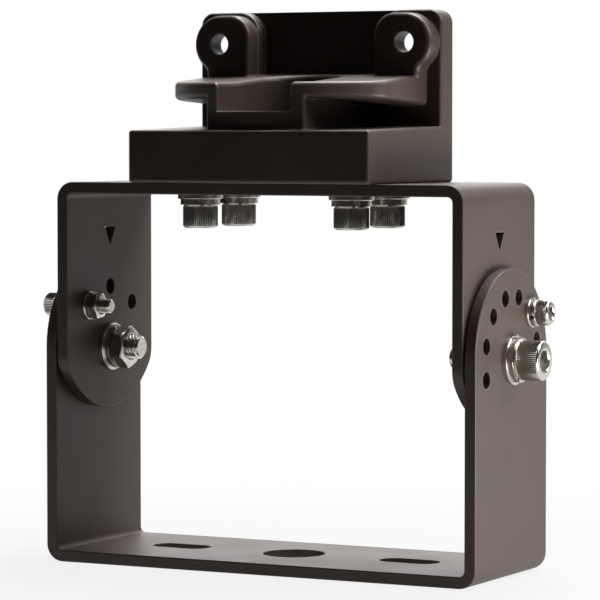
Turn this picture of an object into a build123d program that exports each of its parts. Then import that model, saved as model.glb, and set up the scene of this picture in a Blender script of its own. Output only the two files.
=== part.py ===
"""Tilting yoke bracket for an area light, in millimetres.

X runs across the yoke, +Y away from the viewer and +Z up.
The origin is the centre of the base yoke's lower face.
"""
import os
from math import cos, radians, sin, sqrt

from build123d import *

# Strap stock and the base yoke
STRAP = 70.0
PLATE = 4.8
BEND_IN = 2.4
BEND_OUT = BEND_IN + PLATE
EDGE = 0.5
BASE_HALF = 98.0
BASE_TOP = 124.4
PIVOT_Z = 88.0
SLOT_X = 53.0
SLOT_LEN = 26.0
SLOT_W = 13.0
CENTRE_D = 26.0

# Tilt yoke
YOKE_GAP = 0.7
TILT_HALF = BASE_HALF - PLATE - YOKE_GAP
TILT_TOP = 158.0
TILT_END = 62.5
TILT_END_R = 41.0
POINTER_W = 8.8
POINTER_TIP = PIVOT_Z + 43.0
POINTER_TOP = PIVOT_Z + 50.7

# Index ring: eight holes in each base leg, three in each tilt leg
RING_R = 25.5
BASE_ANGLES = (-105, -75, -45, -15, 15, 45, 75, 105)
TILT_ANGLES = (-45, 0, 45)
LOCK_ANGLE = {"left": -45, "right": 45}
SIDES = {"left": -1, "right": 1}

# Fasteners: shank, head diameter and height, key, washer diameter, flat and split thickness, nut
PIVOT_D = 10.0
PIVOT_HEAD = (16.0, 10.0, 8.0, 5.0)
PIVOT_FLAT = (20.0, 2.0)
PIVOT_SPLIT = (18.0, 2.2)
PIVOT_NUT = (16.0, 6.0)
PIVOT_NUT_TURN = 24
PIVOT_LEN = 30.0
INDEX_D = 6.0
INDEX_HEAD = (10.0, 6.0, 5.0, 3.0)
INDEX_FLAT = (12.0, 1.6)
INDEX_SPLIT = (11.0, 1.6)
INDEX_NUT = (10.0, 3.2)
INDEX_NUT_TURN = 5
INDEX_LEN = 25.0
ADAPTER_D = 9.5
ADAPTER_HEAD = (14.4, 9.5, 7.9, 5.0)
ADAPTER_FLAT = (18.6, 2.0)
ADAPTER_SPLIT = (16.4, 2.4)
ADAPTER_LEN = 24.0
SCREW_X = 34.7
SCREW_INSET = 18.5
SCREW_Y = STRAP / 2 - SCREW_INSET
SPLIT_GAP = 1.4

# Fits
HOLE_CLEAR = 1.0
WASHER_CLEAR = 0.6
THREAD_CLEAR = 0.1
RUN_GAP = 0.1

# Arm adapter casting, heights above the tilt yoke's top face
BOLT_X = 43.0
BOLT_Z = 57.3
BOLT_D = 8.6
HOLE_WALL = 9.5
BOSS_R = 12.0
CAST_RIM = 1.4
CAST_HALF = BOLT_X + BOSS_R + CAST_RIM
CAST_DRAFT = 1.8
CAST_INSET = 1.2
CAST_REAR = STRAP / 2 - CAST_INSET
CAST_LIP = 6.4
CAST_FRONT = -STRAP / 2 - CAST_LIP
BLOCK_H = (21.3, 23.2)
CAST_H = 70.7
BACK_T = 11.2
BACK_Y = CAST_REAR - BACK_T
WEB_T = 4.7
WEB_Y = CAST_REAR - WEB_T
CAST_CORNER = 5.5
CAST_EDGE = 1.3
BOSS_PROUD = 8.1
BOSS_FRONT = BACK_Y - BOSS_PROUD
BOSS_SINK = 2.0
BOSS_INNER = 14.0
BOSS_IN = BOLT_X - BOSS_INNER
BOSS_OUTER = 6.2
BOSS_OUT = BOLT_X + BOSS_OUTER
BOSS_TOP = BOLT_Z + BOSS_R
BOSS_CORNER = 9.0
BOSS_NECK_R = 4.0
BOSS_EDGE = 2.0
PAD_STEP = 0.6
PAD_IN = BOSS_IN - PAD_STEP
PAD_CORNER = 9.0
POCKET_WALL = 2.0
POCKET_D = 2 * (BOSS_R - POCKET_WALL)
POCKET_T = CAST_REAR - BOSS_FRONT - HOLE_WALL
SHELF_HALF = BOSS_OUT
SHELF_R = 1.25 * SHELF_HALF
SHELF_SETBACK = 3.4
SHELF_FRONT = CAST_FRONT + SHELF_SETBACK
SHELF_RUN = 20.0
SHELF_KNEE = SHELF_FRONT + SHELF_RUN
SHELF_BACK = WEB_Y + 1
SHELF_TOP = (40.6, 41.0, 45.0)
SHELF_LOW = (34.2, 33.9, 31.2)
SHELF_CORNER = 16.0
SHELF_EDGE = 2.0
NOTCH_R = 16.5
NOTCH_Z = 28.7
NOTCH_RUN = 42.2
NOTCH_Y = SHELF_FRONT + NOTCH_RUN
NOTCH_LIP = 0.8
POST_W = 5.8
PED_HALF = NOTCH_R + POST_W
PED_CORNER = 1.5

os.makedirs("parts", exist_ok=True)


def save(piece, name):
    """Label one piece and write its file."""
    piece.part.label = name
    export_step(piece.part, f"parts/{name}.step")


def ring_point(angle):
    """Y and Z of a hole on the index ring, the angle measured from straight up."""
    return (RING_R * sin(radians(angle)), PIVOT_Z + RING_R * cos(radians(angle)))


def side_plane(side, x, y, z, out=1):
    """Plane on one leg, its normal pointing out of the yoke, or into it when out is -1."""
    return Plane(origin=(side * x, y, z), x_dir=(0, 1, 0), z_dir=(side * out, 0, 0))


def under_plane(x, y, z):
    """Plane under the tilt yoke's top, its normal pointing down."""
    return Plane(origin=(x, y, z), x_dir=(1, 0, 0), z_dir=(0, 0, -1))


def washer(seat, size, shank, name):
    """Flat washer lying on the seat plane."""
    with BuildPart(seat) as piece:
        with BuildSketch(seat):
            Circle(size[0] / 2)
            Circle((shank + WASHER_CLEAR) / 2, mode=Mode.SUBTRACT)
        extrude(amount=size[1])
        chamfer(piece.faces().sort_by(Axis(seat.origin, seat.z_dir))[-1].outer_wire().edges(), 0.25)
    save(piece, name)


def lock_washer(seat, size, shank, turn, name):
    """Split lock washer: a ring with one slanted gap."""
    with BuildPart(seat) as piece:
        with BuildSketch(seat):
            Circle(size[0] / 2)
            Circle((shank + WASHER_CLEAR) / 2, mode=Mode.SUBTRACT)
        extrude(amount=size[1])
        reach = size[0] / 4
        place = (reach * cos(radians(turn)), reach * sin(radians(turn)), size[1] / 2)
        with Locations(Location(place, (0, 0, turn))):
            Box(size[0] / 2 + 2, SPLIT_GAP, size[1] + 4, rotation=(20, 0, 0), mode=Mode.SUBTRACT)
    save(piece, name)


def cap_screw(seat, head, shank, length, name, end_chamfer=1.0):
    """Socket head cap screw, its head bearing on the seat plane."""
    diameter, height, key, depth = head
    with BuildPart(seat) as piece:
        Cylinder(diameter / 2, height, align=(Align.CENTER, Align.CENTER, Align.MIN))
        top = piece.faces().sort_by(Axis(seat.origin, seat.z_dir))[-1]
        chamfer(top.edges(), 0.8)
        with BuildSketch(seat.offset(height - depth)):
            RegularPolygon(key / sqrt(3), 6)
        extrude(amount=depth + 1, mode=Mode.SUBTRACT)
        Cylinder(shank / 2, length, align=(Align.CENTER, Align.CENTER, Align.MAX))
        end = piece.faces().sort_by(Axis(seat.origin, seat.z_dir))[0]
        if end_chamfer:
            chamfer(end.edges(), end_chamfer)
    save(piece, name)


def hex_nut(seat, size, shank, turn, name):
    """Hexagon nut on the seat plane, corners cut back on the outer face."""
    flats, height = size
    with BuildPart(seat) as piece:
        Cylinder(flats * 0.6, height, align=(Align.CENTER, Align.CENTER, Align.MIN))
        top = piece.faces().sort_by(Axis(seat.origin, seat.z_dir))[-1]
        chamfer(top.edges(), flats * 0.12, flats * 0.06, reference=top)
        with BuildSketch(seat):
            RegularPolygon(flats / sqrt(3), 6, rotation=turn)
        extrude(amount=height, mode=Mode.INTERSECT)
        Cylinder((shank + THREAD_CLEAR) / 2, 3 * height, mode=Mode.SUBTRACT)
    save(piece, name)


# Base yoke
with BuildPart() as base_yoke:
    with BuildSketch(Plane.XZ) as channel:
        with BuildLine():
            Polyline((-BASE_HALF, BASE_TOP), (-BASE_HALF, 0), (BASE_HALF, 0), (BASE_HALF, BASE_TOP),
                     (BASE_HALF - PLATE, BASE_TOP), (BASE_HALF - PLATE, PLATE),
                     (PLATE - BASE_HALF, PLATE), (PLATE - BASE_HALF, BASE_TOP), close=True)
        make_face()
        fillet([v for v in channel.vertices() if abs(v.Y) < 0.1], BEND_OUT)
        fillet([v for v in channel.vertices() if abs(v.Y - PLATE) < 0.1], BEND_IN)
    extrude(amount=STRAP / 2, both=True)
    with BuildSketch(Plane.YZ):
        with Locations((0, (BASE_TOP - STRAP / 2) / 2)):
            Rectangle(STRAP, BASE_TOP - STRAP / 2)
        with Locations((0, BASE_TOP - STRAP / 2)):
            Circle(STRAP / 2)
    extrude(amount=BASE_HALF, both=True, mode=Mode.INTERSECT)
    long = [e for e in base_yoke.edges() if e.bounding_box().size.X > 0.5 or e.bounding_box().size.Z > 8]
    rims = [e for e in long if e.bounding_box().size.X < PLATE - 0.1 or abs(e.center().Y) > STRAP / 2 - 0.1]
    fillet(rims, EDGE)
    with BuildSketch(Plane.YZ):
        for angle in BASE_ANGLES:
            with Locations(ring_point(angle)):
                Circle((INDEX_D + HOLE_CLEAR) / 2)
        with Locations((0, PIVOT_Z)):
            Circle((PIVOT_D + HOLE_CLEAR) / 2)
    extrude(amount=BASE_HALF + 1, both=True, mode=Mode.SUBTRACT)
    with BuildSketch(Plane.XY):
        with Locations((-SLOT_X, 0), (SLOT_X, 0)):
            SlotOverall(SLOT_LEN, SLOT_W)
        Circle(CENTRE_D / 2)
    extrude(amount=PLATE, mode=Mode.SUBTRACT)
save(base_yoke, "base_yoke")

# Tilt yoke
with BuildPart() as tilt_yoke:
    with BuildSketch(Plane.XZ) as channel:
        with BuildLine():
            Polyline((-TILT_HALF, TILT_END), (-TILT_HALF, TILT_TOP), (TILT_HALF, TILT_TOP),
                     (TILT_HALF, TILT_END), (TILT_HALF - PLATE, TILT_END),
                     (TILT_HALF - PLATE, TILT_TOP - PLATE), (PLATE - TILT_HALF, TILT_TOP - PLATE),
                     (PLATE - TILT_HALF, TILT_END), close=True)
        make_face()
        fillet([v for v in channel.vertices() if abs(v.Y - TILT_TOP) < 0.1], BEND_OUT)
        fillet([v for v in channel.vertices() if abs(v.Y - TILT_TOP + PLATE) < 0.1], BEND_IN)
    extrude(amount=STRAP / 2, both=True)
    shoulder = TILT_END + TILT_END_R - sqrt(TILT_END_R ** 2 - (STRAP / 2) ** 2)
    with BuildSketch(Plane.YZ) as outline:
        with BuildLine():
            Line((STRAP / 2, shoulder), (STRAP / 2, TILT_TOP))
            Line((STRAP / 2, TILT_TOP), (-STRAP / 2, TILT_TOP))
            Line((-STRAP / 2, TILT_TOP), (-STRAP / 2, shoulder))
            ThreePointArc((-STRAP / 2, shoulder), (0, TILT_END), (STRAP / 2, shoulder))
        make_face()
        fillet([v for v in outline.vertices() if abs(v.Y - shoulder) < 0.1], 12)
    extrude(amount=TILT_HALF, both=True, mode=Mode.INTERSECT)
    long = [e for e in tilt_yoke.edges() if e.bounding_box().size.X > 0.5 or e.bounding_box().size.Z > 8]
    rims = [e for e in long if e.bounding_box().size.X < PLATE - 0.1 or abs(e.center().Y) > STRAP / 2 - 0.1]
    fillet(rims, EDGE)
    with BuildSketch(Plane.YZ):
        for angle in TILT_ANGLES:
            with Locations(ring_point(angle)):
                Circle((INDEX_D + HOLE_CLEAR) / 2)
        with Locations((0, PIVOT_Z)):
            Circle((PIVOT_D + HOLE_CLEAR) / 2)
        with BuildLine():
            Polyline((-POINTER_W / 2, POINTER_TOP), (POINTER_W / 2, POINTER_TOP), (0, POINTER_TIP),
                     close=True)
        make_face()
    extrude(amount=TILT_HALF + 1, both=True, mode=Mode.SUBTRACT)
    with BuildSketch(Plane.XY.offset(TILT_TOP - PLATE)):
        with GridLocations(2 * SCREW_X, 2 * SCREW_Y, 2, 2):
            Circle((ADAPTER_D + HOLE_CLEAR) / 2)
    extrude(amount=PLATE, mode=Mode.SUBTRACT)
save(tilt_yoke, "tilt_yoke")

def cut_notch(plan):
    """Cut the cable notch out of a plan sketch and ease the corners of its mouth."""
    with Locations((0, NOTCH_Y)):
        Circle(NOTCH_R, mode=Mode.SUBTRACT)
        Rectangle(2 * NOTCH_R, 2 * NOTCH_RUN, align=(Align.CENTER, Align.MAX), mode=Mode.SUBTRACT)
    mouth = [v for v in plan.vertices() if abs(abs(v.X) - NOTCH_R) < 0.1]
    fillet([v for v in mouth if v.Y < SHELF_KNEE], NOTCH_LIP)


# Arm adapter: drafted block, thin web and thick pads, shelf on its notched pedestal, then the bolt bosses
with BuildPart() as arm_adapter:
    with BuildSketch(Plane.YZ):
        with BuildLine():
            Polyline((CAST_FRONT, TILT_TOP), (CAST_REAR, TILT_TOP), (CAST_REAR, TILT_TOP + CAST_H),
                     (WEB_Y, TILT_TOP + CAST_H), (WEB_Y, TILT_TOP + BLOCK_H[1]),
                     (CAST_FRONT, TILT_TOP + BLOCK_H[0]), close=True)
        make_face()
    extrude(amount=CAST_HALF, both=True)
    for side in SIDES.values():
        with BuildSketch(Plane.XZ.offset(-BACK_Y)) as pad:
            with Locations((side * (PAD_IN + CAST_HALF) / 2, TILT_TOP + CAST_H)):
                Rectangle(CAST_HALF - PAD_IN, CAST_H - BLOCK_H[0], align=(Align.CENTER, Align.MAX))
            tops = [v for v in pad.vertices() if v.Y > TILT_TOP + BLOCK_H[1]]
            fillet([v for v in tops if abs(v.X) < BOSS_OUT], PAD_CORNER)
        extrude(amount=BACK_Y - WEB_Y - 1)
    with BuildSketch(Plane.XY.offset(TILT_TOP)):
        nose = CAST_HALF - CAST_DRAFT
        with BuildLine():
            Polyline((-nose, CAST_FRONT), (nose, CAST_FRONT), (CAST_HALF, CAST_REAR), (-CAST_HALF, CAST_REAR),
                     close=True)
        make_face()
    extrude(amount=CAST_H, mode=Mode.INTERSECT)
    ends = [e for e in arm_adapter.edges() if abs(e.center().X) > nose]
    fillet([e for e in ends if e.center().Z > TILT_TOP + CAST_H - 0.1], CAST_CORNER)
    rims = [e for e in arm_adapter.edges() if not e.is_interior]
    middle = [e for e in rims if abs(e.center().X) < BOSS_OUT]
    inner = [e for e in middle if BACK_Y + 0.1 < e.center().Y < CAST_REAR - 0.1]
    fillet([e for e in rims if e not in inner], CAST_EDGE)
    with BuildPart(mode=Mode.ADD) as shelf:
        with BuildSketch(Plane.YZ):
            with BuildLine():
                Polyline((SHELF_FRONT - 1, TILT_TOP + SHELF_LOW[0]), (SHELF_KNEE, TILT_TOP + SHELF_LOW[1]),
                         (SHELF_BACK, TILT_TOP + SHELF_LOW[2]), (SHELF_BACK, TILT_TOP + SHELF_TOP[2]),
                         (SHELF_KNEE, TILT_TOP + SHELF_TOP[1]), (SHELF_FRONT - 1, TILT_TOP + SHELF_TOP[0]),
                         close=True)
            make_face()
        extrude(amount=SHELF_HALF, both=True)
        with BuildSketch(Plane.XY.offset(TILT_TOP)) as plan:
            with Locations((0, SHELF_FRONT + SHELF_R)):
                Circle(SHELF_R)
                Rectangle(2 * SHELF_HALF, 2 * SHELF_R, mode=Mode.INTERSECT)
            fillet([v for v in plan.vertices() if v.Y < SHELF_FRONT + SHELF_R], SHELF_CORNER)
            cut_notch(plan)
        extrude(amount=CAST_H, mode=Mode.INTERSECT)
        rims = [e for e in shelf.edges() if e.center().Y < SHELF_BACK - 2 and e.bounding_box().size.Z < 4]
        fillet([e for e in rims if e.bounding_box().size.Y > 0.1], SHELF_EDGE)
    with BuildPart(mode=Mode.ADD):
        for base, top, notched in ((BLOCK_H[0] - 1, NOTCH_Z, False),
                                   (NOTCH_Z, (SHELF_LOW[1] + SHELF_TOP[1]) / 2, True)):
            with BuildSketch(Plane.XY.offset(TILT_TOP + base)) as foot:
                with Locations((0, SHELF_FRONT + SHELF_R)):
                    Circle(SHELF_R)
                with Locations((0, SHELF_BACK)):
                    Rectangle(2 * PED_HALF, SHELF_BACK - SHELF_FRONT, align=(Align.CENTER, Align.MAX),
                              mode=Mode.INTERSECT)
                fillet([v for v in foot.vertices() if v.Y < SHELF_KNEE], PED_CORNER)
                if notched:
                    cut_notch(foot)
            extrude(amount=top - base)
    for side in SIDES.values():
        low = SHELF_TOP[1] - 1
        with BuildPart(mode=Mode.ADD) as boss:
            with BuildSketch(Plane.XZ.offset(-BOSS_FRONT)) as face:
                with Locations((side * BOLT_X, TILT_TOP + BOLT_Z)):
                    Circle(BOSS_R)
                with Locations((side * (BOSS_IN + BOSS_OUT) / 2, TILT_TOP + (low + BOLT_Z) / 2)):
                    Rectangle(BOSS_OUT - BOSS_IN, BOLT_Z - low)
                with Locations((side * (BOSS_IN + BOLT_X) / 2, TILT_TOP + (low + BOSS_TOP) / 2)):
                    Rectangle(BOLT_X - BOSS_IN, BOSS_TOP - low)
                tops = [v for v in face.vertices() if v.Y > TILT_TOP + BOSS_TOP - 0.1]
                fillet([v for v in tops if abs(abs(v.X) - BOSS_IN) < 0.1], BOSS_CORNER)
                uppers = [v for v in face.vertices() if v.Y > TILT_TOP + low + 1]
                fillet([v for v in uppers if abs(abs(v.X) - BOSS_OUT) < 0.1], BOSS_NECK_R)
            extrude(amount=BOSS_FRONT - BACK_Y - BOSS_SINK)
            rim = boss.faces().sort_by(Axis.Y)[0].edges()
            fillet([e for e in rim if e.center().Z > TILT_TOP + low + 0.1], BOSS_EDGE)
    with BuildSketch(Plane.XZ.offset(-CAST_REAR)):
        with Locations((-BOLT_X, TILT_TOP + BOLT_Z), (BOLT_X, TILT_TOP + BOLT_Z)):
            Circle(BOLT_D / 2)
    extrude(amount=CAST_REAR, mode=Mode.SUBTRACT)
    with BuildSketch(Plane.XZ.offset(-CAST_REAR)):
        with Locations((-BOLT_X, TILT_TOP + BOLT_Z), (BOLT_X, TILT_TOP + BOLT_Z)):
            Circle(POCKET_D / 2)
    extrude(amount=POCKET_T, mode=Mode.SUBTRACT)
    with BuildSketch(Plane.XY.offset(TILT_TOP)):
        with GridLocations(2 * SCREW_X, 2 * SCREW_Y, 2, 2):
            Circle((ADAPTER_D + THREAD_CLEAR) / 2)
    extrude(amount=ADAPTER_LEN - PLATE - ADAPTER_FLAT[1] - ADAPTER_SPLIT[1] + 2, mode=Mode.SUBTRACT)
save(arm_adapter, "arm_adapter")

# Adapter screws under the tilt yoke's top plate
for row, y in (("front", -SCREW_Y), ("rear", SCREW_Y)):
    for hand, side in SIDES.items():
        under = TILT_TOP - PLATE
        x = side * SCREW_X
        washer(under_plane(x, y, under), ADAPTER_FLAT, ADAPTER_D, f"adapter_flat_washer_{row}_{hand}")
        under = under - ADAPTER_FLAT[1]
        lock_washer(under_plane(x, y, under), ADAPTER_SPLIT, ADAPTER_D, 60,
                    f"adapter_lock_washer_{row}_{hand}")
        under = under - ADAPTER_SPLIT[1]
        cap_screw(under_plane(x, y, under), ADAPTER_HEAD, ADAPTER_D, ADAPTER_LEN,
                  f"adapter_screw_{row}_{hand}")

# Pivot screws, one through each pair of legs
for hand, side in SIDES.items():
    out = BASE_HALF
    washer(side_plane(side, out, 0, PIVOT_Z), PIVOT_FLAT, PIVOT_D, f"pivot_outer_flat_washer_{hand}")
    out = out + PIVOT_FLAT[1]
    lock_washer(side_plane(side, out, 0, PIVOT_Z), PIVOT_SPLIT, PIVOT_D, 250,
                f"pivot_outer_lock_washer_{hand}")
    out = out + PIVOT_SPLIT[1]
    cap_screw(side_plane(side, out, 0, PIVOT_Z), PIVOT_HEAD, PIVOT_D, PIVOT_LEN, f"pivot_screw_{hand}")
    inn = TILT_HALF - PLATE - RUN_GAP
    washer(side_plane(side, inn, 0, PIVOT_Z, -1), PIVOT_FLAT, PIVOT_D, f"pivot_inner_flat_washer_{hand}")
    inn = inn - PIVOT_FLAT[1]
    lock_washer(side_plane(side, inn, 0, PIVOT_Z, -1), PIVOT_SPLIT, PIVOT_D, 120,
                f"pivot_inner_lock_washer_{hand}")
    inn = inn - PIVOT_SPLIT[1]
    hex_nut(side_plane(side, inn, 0, PIVOT_Z, -1), PIVOT_NUT, PIVOT_D, PIVOT_NUT_TURN, f"pivot_nut_{hand}")

# Index screws lock the tilt. Each is parted in the gap between the legs, so that the tilt can be posed
for hand, side in SIDES.items():
    y, z = ring_point(LOCK_ANGLE[hand])
    out = BASE_HALF
    washer(side_plane(side, out, y, z), INDEX_FLAT, INDEX_D, f"index_outer_flat_washer_{hand}")
    out = out + INDEX_FLAT[1]
    lock_washer(side_plane(side, out, y, z), INDEX_SPLIT, INDEX_D, 200, f"index_outer_lock_washer_{hand}")
    out = out + INDEX_SPLIT[1]
    cap_screw(side_plane(side, out, y, z), INDEX_HEAD, INDEX_D, out - BASE_HALF + PLATE,
              f"index_screw_{hand}", 0)
    inn = TILT_HALF - PLATE
    washer(side_plane(side, inn, y, z, -1), INDEX_FLAT, INDEX_D, f"index_inner_flat_washer_{hand}")
    inn = inn - INDEX_FLAT[1]
    lock_washer(side_plane(side, inn, y, z, -1), INDEX_SPLIT, INDEX_D, 40,
                f"index_inner_lock_washer_{hand}")
    inn = inn - INDEX_SPLIT[1]
    hex_nut(side_plane(side, inn, y, z, -1), INDEX_NUT, INDEX_D, INDEX_NUT_TURN, f"index_nut_{hand}")
    with BuildPart(side_plane(side, TILT_HALF, y, z)) as index_end:
        Cylinder(INDEX_D / 2, INDEX_LEN - (out - TILT_HALF), align=(Align.CENTER, Align.CENTER, Align.MAX))
        tip = index_end.faces().sort_by(Axis((side * TILT_HALF, y, z), (side, 0, 0)))[0]
        chamfer(tip.edges(), 0.8)
    save(index_end, f"index_screw_end_{hand}")
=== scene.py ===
"""Looks of the tilting yoke bracket: powder coat, bright fasteners, studio and camera."""
from math import cos, pi, radians, sin, tan

import bmesh
import bpy
from mathutils import Matrix, Vector


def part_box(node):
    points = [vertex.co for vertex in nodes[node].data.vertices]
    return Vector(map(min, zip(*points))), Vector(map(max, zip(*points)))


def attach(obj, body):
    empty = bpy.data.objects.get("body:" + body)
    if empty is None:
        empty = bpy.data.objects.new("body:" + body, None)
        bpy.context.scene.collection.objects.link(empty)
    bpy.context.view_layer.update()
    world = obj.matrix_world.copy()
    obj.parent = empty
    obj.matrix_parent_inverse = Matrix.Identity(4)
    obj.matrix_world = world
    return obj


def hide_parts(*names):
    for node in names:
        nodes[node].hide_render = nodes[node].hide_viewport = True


MM = 0.001

# Camera, fitted to the straight edges of the photograph
CAMERA_AT = Vector((630.9, -1208.0, 179.3)) * MM
CAMERA_TURN = (radians(87.071), 0.0, radians(27.471))
CAMERA_LENS = 199.03
CAMERA_SENSOR = 36.0

# Screws in millimetres: head diameter and height, key and socket depth, teeth of the knurl, shank and pitch
PIVOT = dict(head=16.0, height=10.0, key=8.0, socket=5.0, teeth=60, shank=10.0, pitch=1.5)
INDEX = dict(head=10.0, height=6.0, key=5.0, socket=3.0, teeth=44, shank=6.0, pitch=1.0)
ADAPTER = dict(head=14.4, height=9.5, key=7.9, socket=5.0, teeth=56, shank=9.5, pitch=1.5)

# Screw heads in millimetres and shares: seat bevel, knurl and its two ends, crown, socket rim and cone
SEAT_BEVEL = 0.5
KNURL = 0.34
KNURL_FAINT = 0.1
KNURL_START = (0.3, 0.5, 0.8)
KNURL_END = (0.3, 0.05)
TOOTH_COLUMNS = 6
CROWN = 0.55
CROWN_STEPS = ((0.35, 0.65), (0.1, 0.25))
RIM_STEPS = ((0.0, 0.25), (0.15, 0.1))
RIM_DEPTH = 0.4
SOCKET_CONE = 0.5
SOCKET_POINT = 0.2

# Shanks in millimetres; depth of thread as a share of the pitch, then its crest and the slope of its flanks
SHANK_COLUMNS = 48
SHANK_ROOT = 0.4
SHANK_SLACK = 0.05
PIVOT_THREAD = 14.0
THREAD_ROWS = 8
THREAD_DEPTH = 0.6
THREAD_CREST = 1.9
THREAD_FLANK = 3.2
TIP_CUT = 0.2

# Nuts in millimetres: width, turn on the screw, face radius as a share of the width, cone and countersink
NUT_ACROSS = {"pivot": 16.0, "index": 10.0}
NUT_TURN = {"pivot": radians(24), "index": radians(5)}
NUT_FACE = 0.455
NUT_CONE = radians(30)
NUT_SINK = (0.7, 0.6)
NUT_COLUMNS = 144

# Edges of the fasteners that turn by more than this are drawn sharp
SHARP_ANGLE = radians(32)

# Colours, linear
BRONZE = (0.045, 0.029, 0.0225, 1)
BRONZE_WARM = (0.055, 0.0355, 0.0275, 1)
# Light flecks of the coat, and on edges partly wear, partly a painted highlight
BRONZE_FLECK_WEAR_AND_HIGHLIGHT = (0.24, 0.2, 0.175, 1)
STEEL = (0.64, 0.62, 0.57, 1)
STEEL_DULL = (0.56, 0.54, 0.49, 1)
WHITE = (1, 1, 1, 1)
FLOOR_TONE = (0.36, 0.36, 0.36, 1)

# Powder coat: scale and detail of each noise, then the ramps from noise or edge to effect, gloss and bumps;
# the edge ramp lightens edges as wear and as a painted highlight
COAT_SLOW = (28, 3)
COAT_PEEL = (900, 2)
COAT_FINE = (3400, 2)
COAT_SPAN = (0.3, 0.7)
COAT_SPECK = (0.62, 0.75, 0, 0.15)
COAT_EDGE_WEAR_AND_HIGHLIGHT = (0.998, 0.92, 0, 0.75)
COAT_GLOSS = 0.05
PEEL_STRENGTH = 0.35
FINE_STRENGTH = 0.3
FINE_SHARE = 0.4

# Steel: detail of the patches, fineness and detail of the marks, ramps, softened edge and bump in millimetres
STEEL_PATCH = 4
STEEL_MARKS = (9, 2)
STEEL_TONE = (0.35, 0.7)
STEEL_SPAN = (0.3, 0.7)
STEEL_GLOSS = (0.03, 0.05)
STEEL_EDGE = 0.15
STEEL_STRENGTH = 0.1
STEEL_BUMP = 0.01

# Lamps: name, place in metres, width and power, all aimed at one point
LAMPS = (("right_low", (0.33, 0.02, 0.02), 0.12, 1.3), ("right_high", (1.0, 0.25, 0.95), 0.6, 10.5),
         ("rear", (-0.5, 1.2, 0.6), 0.8, 2.8), ("top", (0.0, 0.5, 1.3), 0.7, 30.0))
LAMP_AIM = Vector((0, 0, 0.11))

# World: direction of the white backdrop, then the room's light and what reflections see, each by direction
BACKDROP = (-0.46, 0.887, 0.0)
WORLD_FADE = (-0.1, 0.8)
WORLD_LEVELS = (0.01, 0.03)
MIRROR_FADE = (0.42, 0.97)
MIRROR_LEVELS = (0.03, 1.0)

# Floor in metres: half width, front and rear edge, and where its share of white grows from its level to one
FLOOR_X = 1.6
FLOOR_Y = (-0.35, 2.0)
FLOOR_FADE = (0.12, 0.34)
FLOOR_LEVEL = 0.85


# Material helpers
def add(tree, kind, **values):
    """New node, its inputs and settings given by name."""
    made = tree.nodes.new(kind)
    for key, value in values.items():
        if key in made.inputs:
            made.inputs[key].default_value = value
        else:
            setattr(made, key, value)
    return made


def noise(tree, place, scale, detail):
    """Noise texture in the object's own coordinates."""
    made = add(tree, "ShaderNodeTexNoise", Scale=scale, Detail=detail)
    tree.links.new(place.outputs["Object"], made.inputs["Vector"])
    return made.outputs["Fac"]


def ramp(tree, source, low, high, start, end):
    """Map Range from a source socket."""
    made = add(tree, "ShaderNodeMapRange")
    made.inputs["From Min"].default_value = low
    made.inputs["From Max"].default_value = high
    made.inputs["To Min"].default_value = start
    made.inputs["To Max"].default_value = end
    tree.links.new(source, made.inputs["Value"])
    return made.outputs["Result"]


def mix_colour(tree, factor, first, second):
    """Mix of two colours, either of them a constant or a socket."""
    made = add(tree, "ShaderNodeMix", data_type="RGBA")
    tree.links.new(factor, made.inputs["Factor"])
    for socket, value in ((made.inputs[6], first), (made.inputs[7], second)):
        if isinstance(value, tuple):
            socket.default_value = value
        else:
            tree.links.new(value, socket)
    return made.outputs[2]


def maths(tree, operation, first, second):
    """Math node on two sockets."""
    made = add(tree, "ShaderNodeMath", operation=operation)
    tree.links.new(first, made.inputs[0])
    tree.links.new(second, made.inputs[1])
    return made.outputs["Value"]


def raised(tree, height, normal, strength, depth):
    """Bump of a depth in millimetres, on top of another normal."""
    made = add(tree, "ShaderNodeBump", Strength=strength, Distance=depth * MM)
    tree.links.new(height, made.inputs["Height"])
    tree.links.new(normal, made.inputs["Normal"])
    return made.outputs["Normal"]


def powder_coat(name, rough, grain, round_off):
    """Dark bronze powder coat: orange peel, fine grain, slow changes of tone, edges lightened as wear and
    painted highlight.
    """
    made = bpy.data.materials.new(name)
    made.use_nodes = True
    tree = made.node_tree
    shader = tree.nodes["Principled BSDF"]
    place = add(tree, "ShaderNodeTexCoord")
    slow = noise(tree, place, *COAT_SLOW)
    peel = noise(tree, place, *COAT_PEEL)
    fine = noise(tree, place, *COAT_FINE)
    tone = mix_colour(tree, ramp(tree, slow, *COAT_SPAN, 0, 1), BRONZE, BRONZE_WARM)
    tone = mix_colour(tree, ramp(tree, fine, *COAT_SPECK), tone, BRONZE_FLECK_WEAR_AND_HIGHLIGHT)
    bevel = add(tree, "ShaderNodeBevel", samples=6, Radius=round_off * MM)
    shape = add(tree, "ShaderNodeNewGeometry")
    turn = add(tree, "ShaderNodeVectorMath", operation="DOT_PRODUCT")
    tree.links.new(bevel.outputs["Normal"], turn.inputs[0])
    tree.links.new(shape.outputs["Normal"], turn.inputs[1])
    # Edges lighter all round: partly wear, partly a painted highlight standing in for light catching the
    # rounded edges
    edge_wear_and_highlight = ramp(tree, turn.outputs["Value"], *COAT_EDGE_WEAR_AND_HIGHLIGHT)
    tree.links.new(mix_colour(tree, edge_wear_and_highlight, tone, BRONZE_FLECK_WEAR_AND_HIGHLIGHT), shader.inputs["Base Color"])
    gloss = ramp(tree, slow, *COAT_SPAN, rough - COAT_GLOSS, rough + COAT_GLOSS)
    tree.links.new(gloss, shader.inputs["Roughness"])
    normal = raised(tree, peel, bevel.outputs["Normal"], PEEL_STRENGTH, grain)
    normal = raised(tree, fine, normal, FINE_STRENGTH, grain * FINE_SHARE)
    tree.links.new(normal, shader.inputs["Normal"])
    return made


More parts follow.
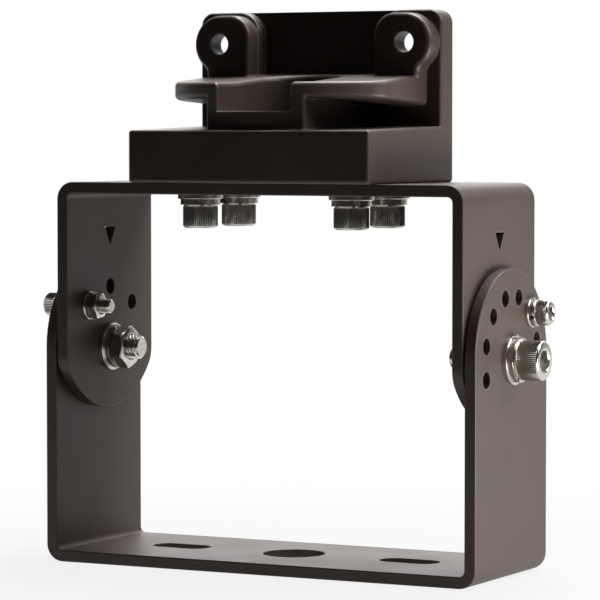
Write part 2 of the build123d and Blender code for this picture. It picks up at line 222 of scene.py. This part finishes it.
def bright_steel(name, rough, scale):
    """Bright stainless: fine turned marks, slight changes of tone and gloss, softened edges."""
    made = bpy.data.materials.new(name)
    made.use_nodes = True
    tree = made.node_tree
    shader = tree.nodes["Principled BSDF"]
    shader.inputs["Metallic"].default_value = 1.0
    place = add(tree, "ShaderNodeTexCoord")
    fineness, detail = STEEL_MARKS
    patch = noise(tree, place, scale, STEEL_PATCH)
    marks = noise(tree, place, scale * fineness, detail)
    dull = ramp(tree, patch, *STEEL_TONE, 0, 1)
    tree.links.new(mix_colour(tree, dull, STEEL, STEEL_DULL), shader.inputs["Base Color"])
    less, more = STEEL_GLOSS
    tree.links.new(ramp(tree, patch, *STEEL_SPAN, rough - less, rough + more), shader.inputs["Roughness"])
    bevel = add(tree, "ShaderNodeBevel", samples=4, Radius=STEEL_EDGE * MM)
    normal = raised(tree, marks, bevel.outputs["Normal"], STEEL_STRENGTH, STEEL_BUMP)
    tree.links.new(normal, shader.inputs["Normal"])
    return made


# Fastener meshes: rings of points about the local Z axis, joined by quads
def ring(z, radius, columns):
    """Points round the axis; height and radius are numbers or functions of the angle."""
    points = []
    for i in range(columns):
        angle = 2 * pi * i / columns
        reach = radius(angle) if callable(radius) else radius
        height = z(angle) if callable(z) else z
        points.append((reach * cos(angle), reach * sin(angle), height))
    return points


def skin(mesh, rings, hollow):
    """Join rings with quads, then close the ends, or join the last ring to the first."""
    loops = [[mesh.verts.new(point) for point in points] for points in rings]
    pairs = list(zip(loops, loops[1:]))
    if hollow:
        pairs.append((loops[-1], loops[0]))
    for low, high in pairs:
        for i in range(len(low)):
            j = (i + 1) % len(low)
            mesh.faces.new((low[i], low[j], high[j], high[i]))
    if not hollow:
        mesh.faces.new(list(reversed(loops[0])))
        mesh.faces.new(loops[-1])


def hexagon(across):
    """Radius of a hexagon by angle, a corner at angle nought."""
    return lambda angle: across / 2 / cos(angle % (pi / 3) - pi / 6)


def head_rings(size):
    """Socket head: straight knurl over most of its height, narrow crown and hexagon socket."""
    big = size["head"] / 2
    high = size["height"]
    teeth = size["teeth"]
    key = hexagon(size["key"])
    mouth = size["key"] / 2 / cos(pi / 6)
    root = big - KNURL
    face = root - CROWN
    neck = high - CROWN
    bottom = high - size["socket"]
    start, faint, full = KNURL_START
    end_full, end_faint = KNURL_END

    def knurl(share):
        return lambda angle: big - KNURL * (1 - share * abs((angle * teeth / (2 * pi)) % 1 * 2 - 1))

    steps = [(0, big - SEAT_BEVEL), (start, root), (faint, knurl(KNURL_FAINT)), (full, knurl(1))]
    steps += [(neck - end_full, knurl(1)), (neck - end_faint, knurl(KNURL_FAINT)), (neck, root)]
    steps += [(high - drop * CROWN, face + reach * CROWN) for drop, reach in CROWN_STEPS]
    steps.append((high, face))
    steps += [(high - drop, mouth + reach) for drop, reach in RIM_STEPS]
    steps += [(high - RIM_DEPTH, key), (bottom, key), (bottom - SOCKET_CONE, size["key"] * SOCKET_POINT)]
    return [ring(z, radius, TOOTH_COLUMNS * teeth) for z, radius in steps]


def thread_rings(size, start, end):
    """Threaded shank from the tip at start up to end, with a chamfered tip."""
    outer = size["shank"] / 2
    pitch = size["pitch"]
    depth = pitch * THREAD_DEPTH
    rows = int((end - start) / pitch * THREAD_ROWS)
    rings = []
    for row in range(rows + 1):
        z = start + (end - start) * row / rows
        tip = outer - depth - TIP_CUT + (z - start)

        def radius(angle, z=z, tip=tip):
            phase = (z / pitch - angle / (2 * pi)) % 1
            tooth = min(1.0, max(0.0, THREAD_CREST - abs(phase * 2 - 1) * THREAD_FLANK))
            return min(tip, outer - depth * (1 - tooth))

        rings.append(ring(z, radius, SHANK_COLUMNS))
    return rings


def nut_rings(across, high, bore):
    """Hexagon nut: a cone cuts the corners of both faces to arcs, and the hole is countersunk."""
    flat = hexagon(across)
    face = across * NUT_FACE
    hole = bore / 2 + SHANK_SLACK
    sink_reach, sink_depth = NUT_SINK

    def cone(angle):
        return max(0.0, flat(angle) - face) * tan(NUT_CONE)

    steps = [(0, face), (cone, flat), (lambda angle: high - cone(angle), flat), (high, face),
             (high, bore / 2 + sink_reach), (high - sink_depth, hole), (0, hole)]
    return [ring(z, radius, NUT_COLUMNS) for z, radius in steps]


def piece(node, shells, seat, across, out, body, finish, hollow=False):
    """Object made of shells of rings, standing for a CAD node and riding on its body."""
    mesh = bmesh.new()
    for rings in shells:
        skin(mesh, rings, hollow)
    data = bpy.data.meshes.new(f"{node}_detail")
    mesh.to_mesh(data)
    mesh.free()
    data.polygons.foreach_set("use_smooth", [True] * len(data.polygons))
    data.set_sharp_from_angle(angle=SHARP_ANGLE)
    data.materials.append(finish)
    made = bpy.data.objects.new(data.name, data)
    bpy.context.scene.collection.objects.link(made)
    side = out.cross(across)
    turn = Matrix((across, side, out)).transposed().to_4x4()
    made.matrix_world = Matrix.Translation(seat) @ turn @ Matrix.Scale(MM, 4)
    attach(made, body)
    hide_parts(node)


def dress_screw(node, size, out, across, body, finish, thread=0.0):
    """Socket head screw in place of a CAD screw: the head's height and the node's box give its seat."""
    low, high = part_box(node)
    centre = (low + high) / 2
    reach = Vector([abs(part) for part in out]).dot(high - low) / 2
    seat = centre + out * (reach - size["height"] * MM)
    tip = size["height"] - 2 * reach / MM
    plain = size["shank"] / 2 - SHANK_SLACK
    shank = thread_rings(size, tip, tip + thread) if thread else [ring(tip, plain, SHANK_COLUMNS)]
    shank.append(ring(SHANK_ROOT, plain, SHANK_COLUMNS))
    piece(node, [head_rings(size), shank], seat, across, out, body, finish)


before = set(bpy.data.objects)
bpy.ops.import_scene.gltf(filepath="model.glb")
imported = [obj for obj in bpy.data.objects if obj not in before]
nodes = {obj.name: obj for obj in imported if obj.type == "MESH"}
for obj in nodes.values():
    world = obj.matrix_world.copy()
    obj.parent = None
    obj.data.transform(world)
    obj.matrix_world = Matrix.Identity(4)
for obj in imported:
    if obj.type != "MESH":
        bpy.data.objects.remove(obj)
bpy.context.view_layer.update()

# Finishes; the screws' meshes are in millimetres and the washers' in metres, so their noise scales differ
strap_coat = powder_coat("strap_powder_coat", rough=0.5, grain=0.08, round_off=0.5)
cast_coat = powder_coat("casting_powder_coat", rough=0.44, grain=0.12, round_off=1.2)
screw_steel = bright_steel("screw_steel", rough=0.2, scale=0.5)
washer_steel = bright_steel("washer_steel", rough=0.22, scale=400)
for name, node in nodes.items():
    node.data.materials.clear()
    if name == "arm_adapter":
        node.data.materials.append(cast_coat)
    elif name in ("base_yoke", "tilt_yoke"):
        node.data.materials.append(strap_coat)
    else:
        node.data.materials.append(washer_steel)

# Screws and nuts in detail
ALONG_X = Vector((1, 0, 0))
ACROSS_LEG = Vector((0, 1, 0))
DOWN = Vector((0, 0, -1))
for hand, side in (("left", -1), ("right", 1)):
    out = ALONG_X * side
    dress_screw(f"pivot_screw_{hand}", PIVOT, out, ACROSS_LEG, "base", screw_steel, thread=PIVOT_THREAD)
    dress_screw(f"index_screw_{hand}", INDEX, out, ACROSS_LEG, "base", screw_steel)
    for row in ("front", "rear"):
        dress_screw(f"adapter_screw_{row}_{hand}", ADAPTER, DOWN, ALONG_X, "tilt_head", screw_steel)
    low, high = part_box(f"index_screw_end_{hand}")
    run = (high.x - low.x) / MM
    root = (low + high) / 2 + out * (high.x - low.x) / 2
    rings = thread_rings(INDEX, -run, 0)
    piece(f"index_screw_end_{hand}", [rings], root, ACROSS_LEG, out, "tilt_head", screw_steel)
    for kind, size, body in (("pivot", PIVOT, "base"), ("index", INDEX, "tilt_head")):
        low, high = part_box(f"{kind}_nut_{hand}")
        seat = (low + high) / 2 + out * (high.x - low.x) / 2
        corner = Matrix.Rotation(NUT_TURN[kind], 3, -out) @ ACROSS_LEG
        rings = nut_rings(NUT_ACROSS[kind], (high.x - low.x) / MM, size["shank"])
        piece(f"{kind}_nut_{hand}", [rings], seat, corner, -out, body, screw_steel, hollow=True)


# Studio: pale floor that keeps the shadow, white behind the object, dim room in front of it
def reflected(tree, path):
    """One for glossy and transmission rays, nought for the rest."""
    return maths(tree, "MAXIMUM", path.outputs["Is Glossy Ray"], path.outputs["Is Transmission Ray"])


def floor_finish():
    """Pale floor; what the camera and reflections see of it fades to white away from the object."""
    made = bpy.data.materials.new("floor_pale")
    made.use_nodes = True
    tree = made.node_tree
    tree.nodes.clear()
    place = add(tree, "ShaderNodeTexCoord")
    reach = add(tree, "ShaderNodeVectorMath", operation="LENGTH")
    tree.links.new(place.outputs["Object"], reach.inputs[0])
    share = ramp(tree, reach.outputs["Value"], *FLOOR_FADE, FLOOR_LEVEL, 1.0)
    path = add(tree, "ShaderNodeLightPath")
    seen = maths(tree, "MAXIMUM", path.outputs["Is Camera Ray"], reflected(tree, path))
    matt = add(tree, "ShaderNodeBsdfDiffuse", Color=FLOOR_TONE)
    glow = add(tree, "ShaderNodeEmission", Color=WHITE, Strength=1.0)
    blend = add(tree, "ShaderNodeMixShader")
    tree.links.new(maths(tree, "MULTIPLY", seen, share), blend.inputs["Fac"])
    tree.links.new(matt.outputs["BSDF"], blend.inputs[1])
    tree.links.new(glow.outputs["Emission"], blend.inputs[2])
    end = add(tree, "ShaderNodeOutputMaterial")
    tree.links.new(blend.outputs["Shader"], end.inputs["Surface"])
    return made


def studio_world():
    """White to the camera; reflections see that white behind the object and a dim room in front of it."""
    world = bpy.data.worlds.new("studio")
    bpy.context.scene.world = world
    world.use_nodes = True
    tree = world.node_tree
    tree.nodes.clear()
    place = add(tree, "ShaderNodeTexCoord")
    facing = add(tree, "ShaderNodeVectorMath", operation="DOT_PRODUCT")
    facing.inputs[1].default_value = BACKDROP
    tree.links.new(place.outputs["Generated"], facing.inputs[0])
    level = ramp(tree, facing.outputs["Value"], *WORLD_FADE, *WORLD_LEVELS)
    mirror = ramp(tree, facing.outputs["Value"], *MIRROR_FADE, *MIRROR_LEVELS)
    path = add(tree, "ShaderNodeLightPath")
    shown = maths(tree, "MULTIPLY", reflected(tree, path), mirror)
    shown = maths(tree, "MAXIMUM", shown, path.outputs["Is Camera Ray"])
    back = add(tree, "ShaderNodeBackground", Color=WHITE)
    tree.links.new(maths(tree, "MAXIMUM", shown, level), back.inputs["Strength"])
    end = add(tree, "ShaderNodeOutputWorld")
    tree.links.new(back.outputs["Background"], end.inputs["Surface"])


def lamp(name, place, size, power):
    """Soft square lamp aimed at the middle of the bracket."""
    data = bpy.data.lights.new(name, "AREA")
    data.size = size
    data.energy = power
    made = bpy.data.objects.new(name, data)
    bpy.context.scene.collection.objects.link(made)
    made.location = place
    aim = LAMP_AIM - Vector(place)
    made.rotation_euler = aim.to_track_quat("-Z", "Y").to_euler()


floor_mesh = bpy.data.meshes.new("floor")
front, rear = FLOOR_Y
corners = [(-FLOOR_X, front, 0), (FLOOR_X, front, 0), (FLOOR_X, rear, 0), (-FLOOR_X, rear, 0)]
floor_mesh.from_pydata(corners, [], [(0, 1, 2, 3)])
floor_mesh.materials.append(floor_finish())
floor = bpy.data.objects.new("floor", floor_mesh)
bpy.context.scene.collection.objects.link(floor)
studio_world()
for lamp_name, lamp_place, lamp_size, lamp_power in LAMPS:
    lamp(f"{lamp_name}_lamp", lamp_place, lamp_size, lamp_power)

# Camera
eye_data = bpy.data.cameras.new("camera")
eye_data.lens = CAMERA_LENS
eye_data.sensor_width = CAMERA_SENSOR
eye = bpy.data.objects.new("camera", eye_data)
bpy.context.scene.collection.objects.link(eye)
eye.location = CAMERA_AT
eye.rotation_euler = CAMERA_TURN
bpy.context.scene.camera = eye
bpy.context.scene.view_settings.view_transform = "Standard"
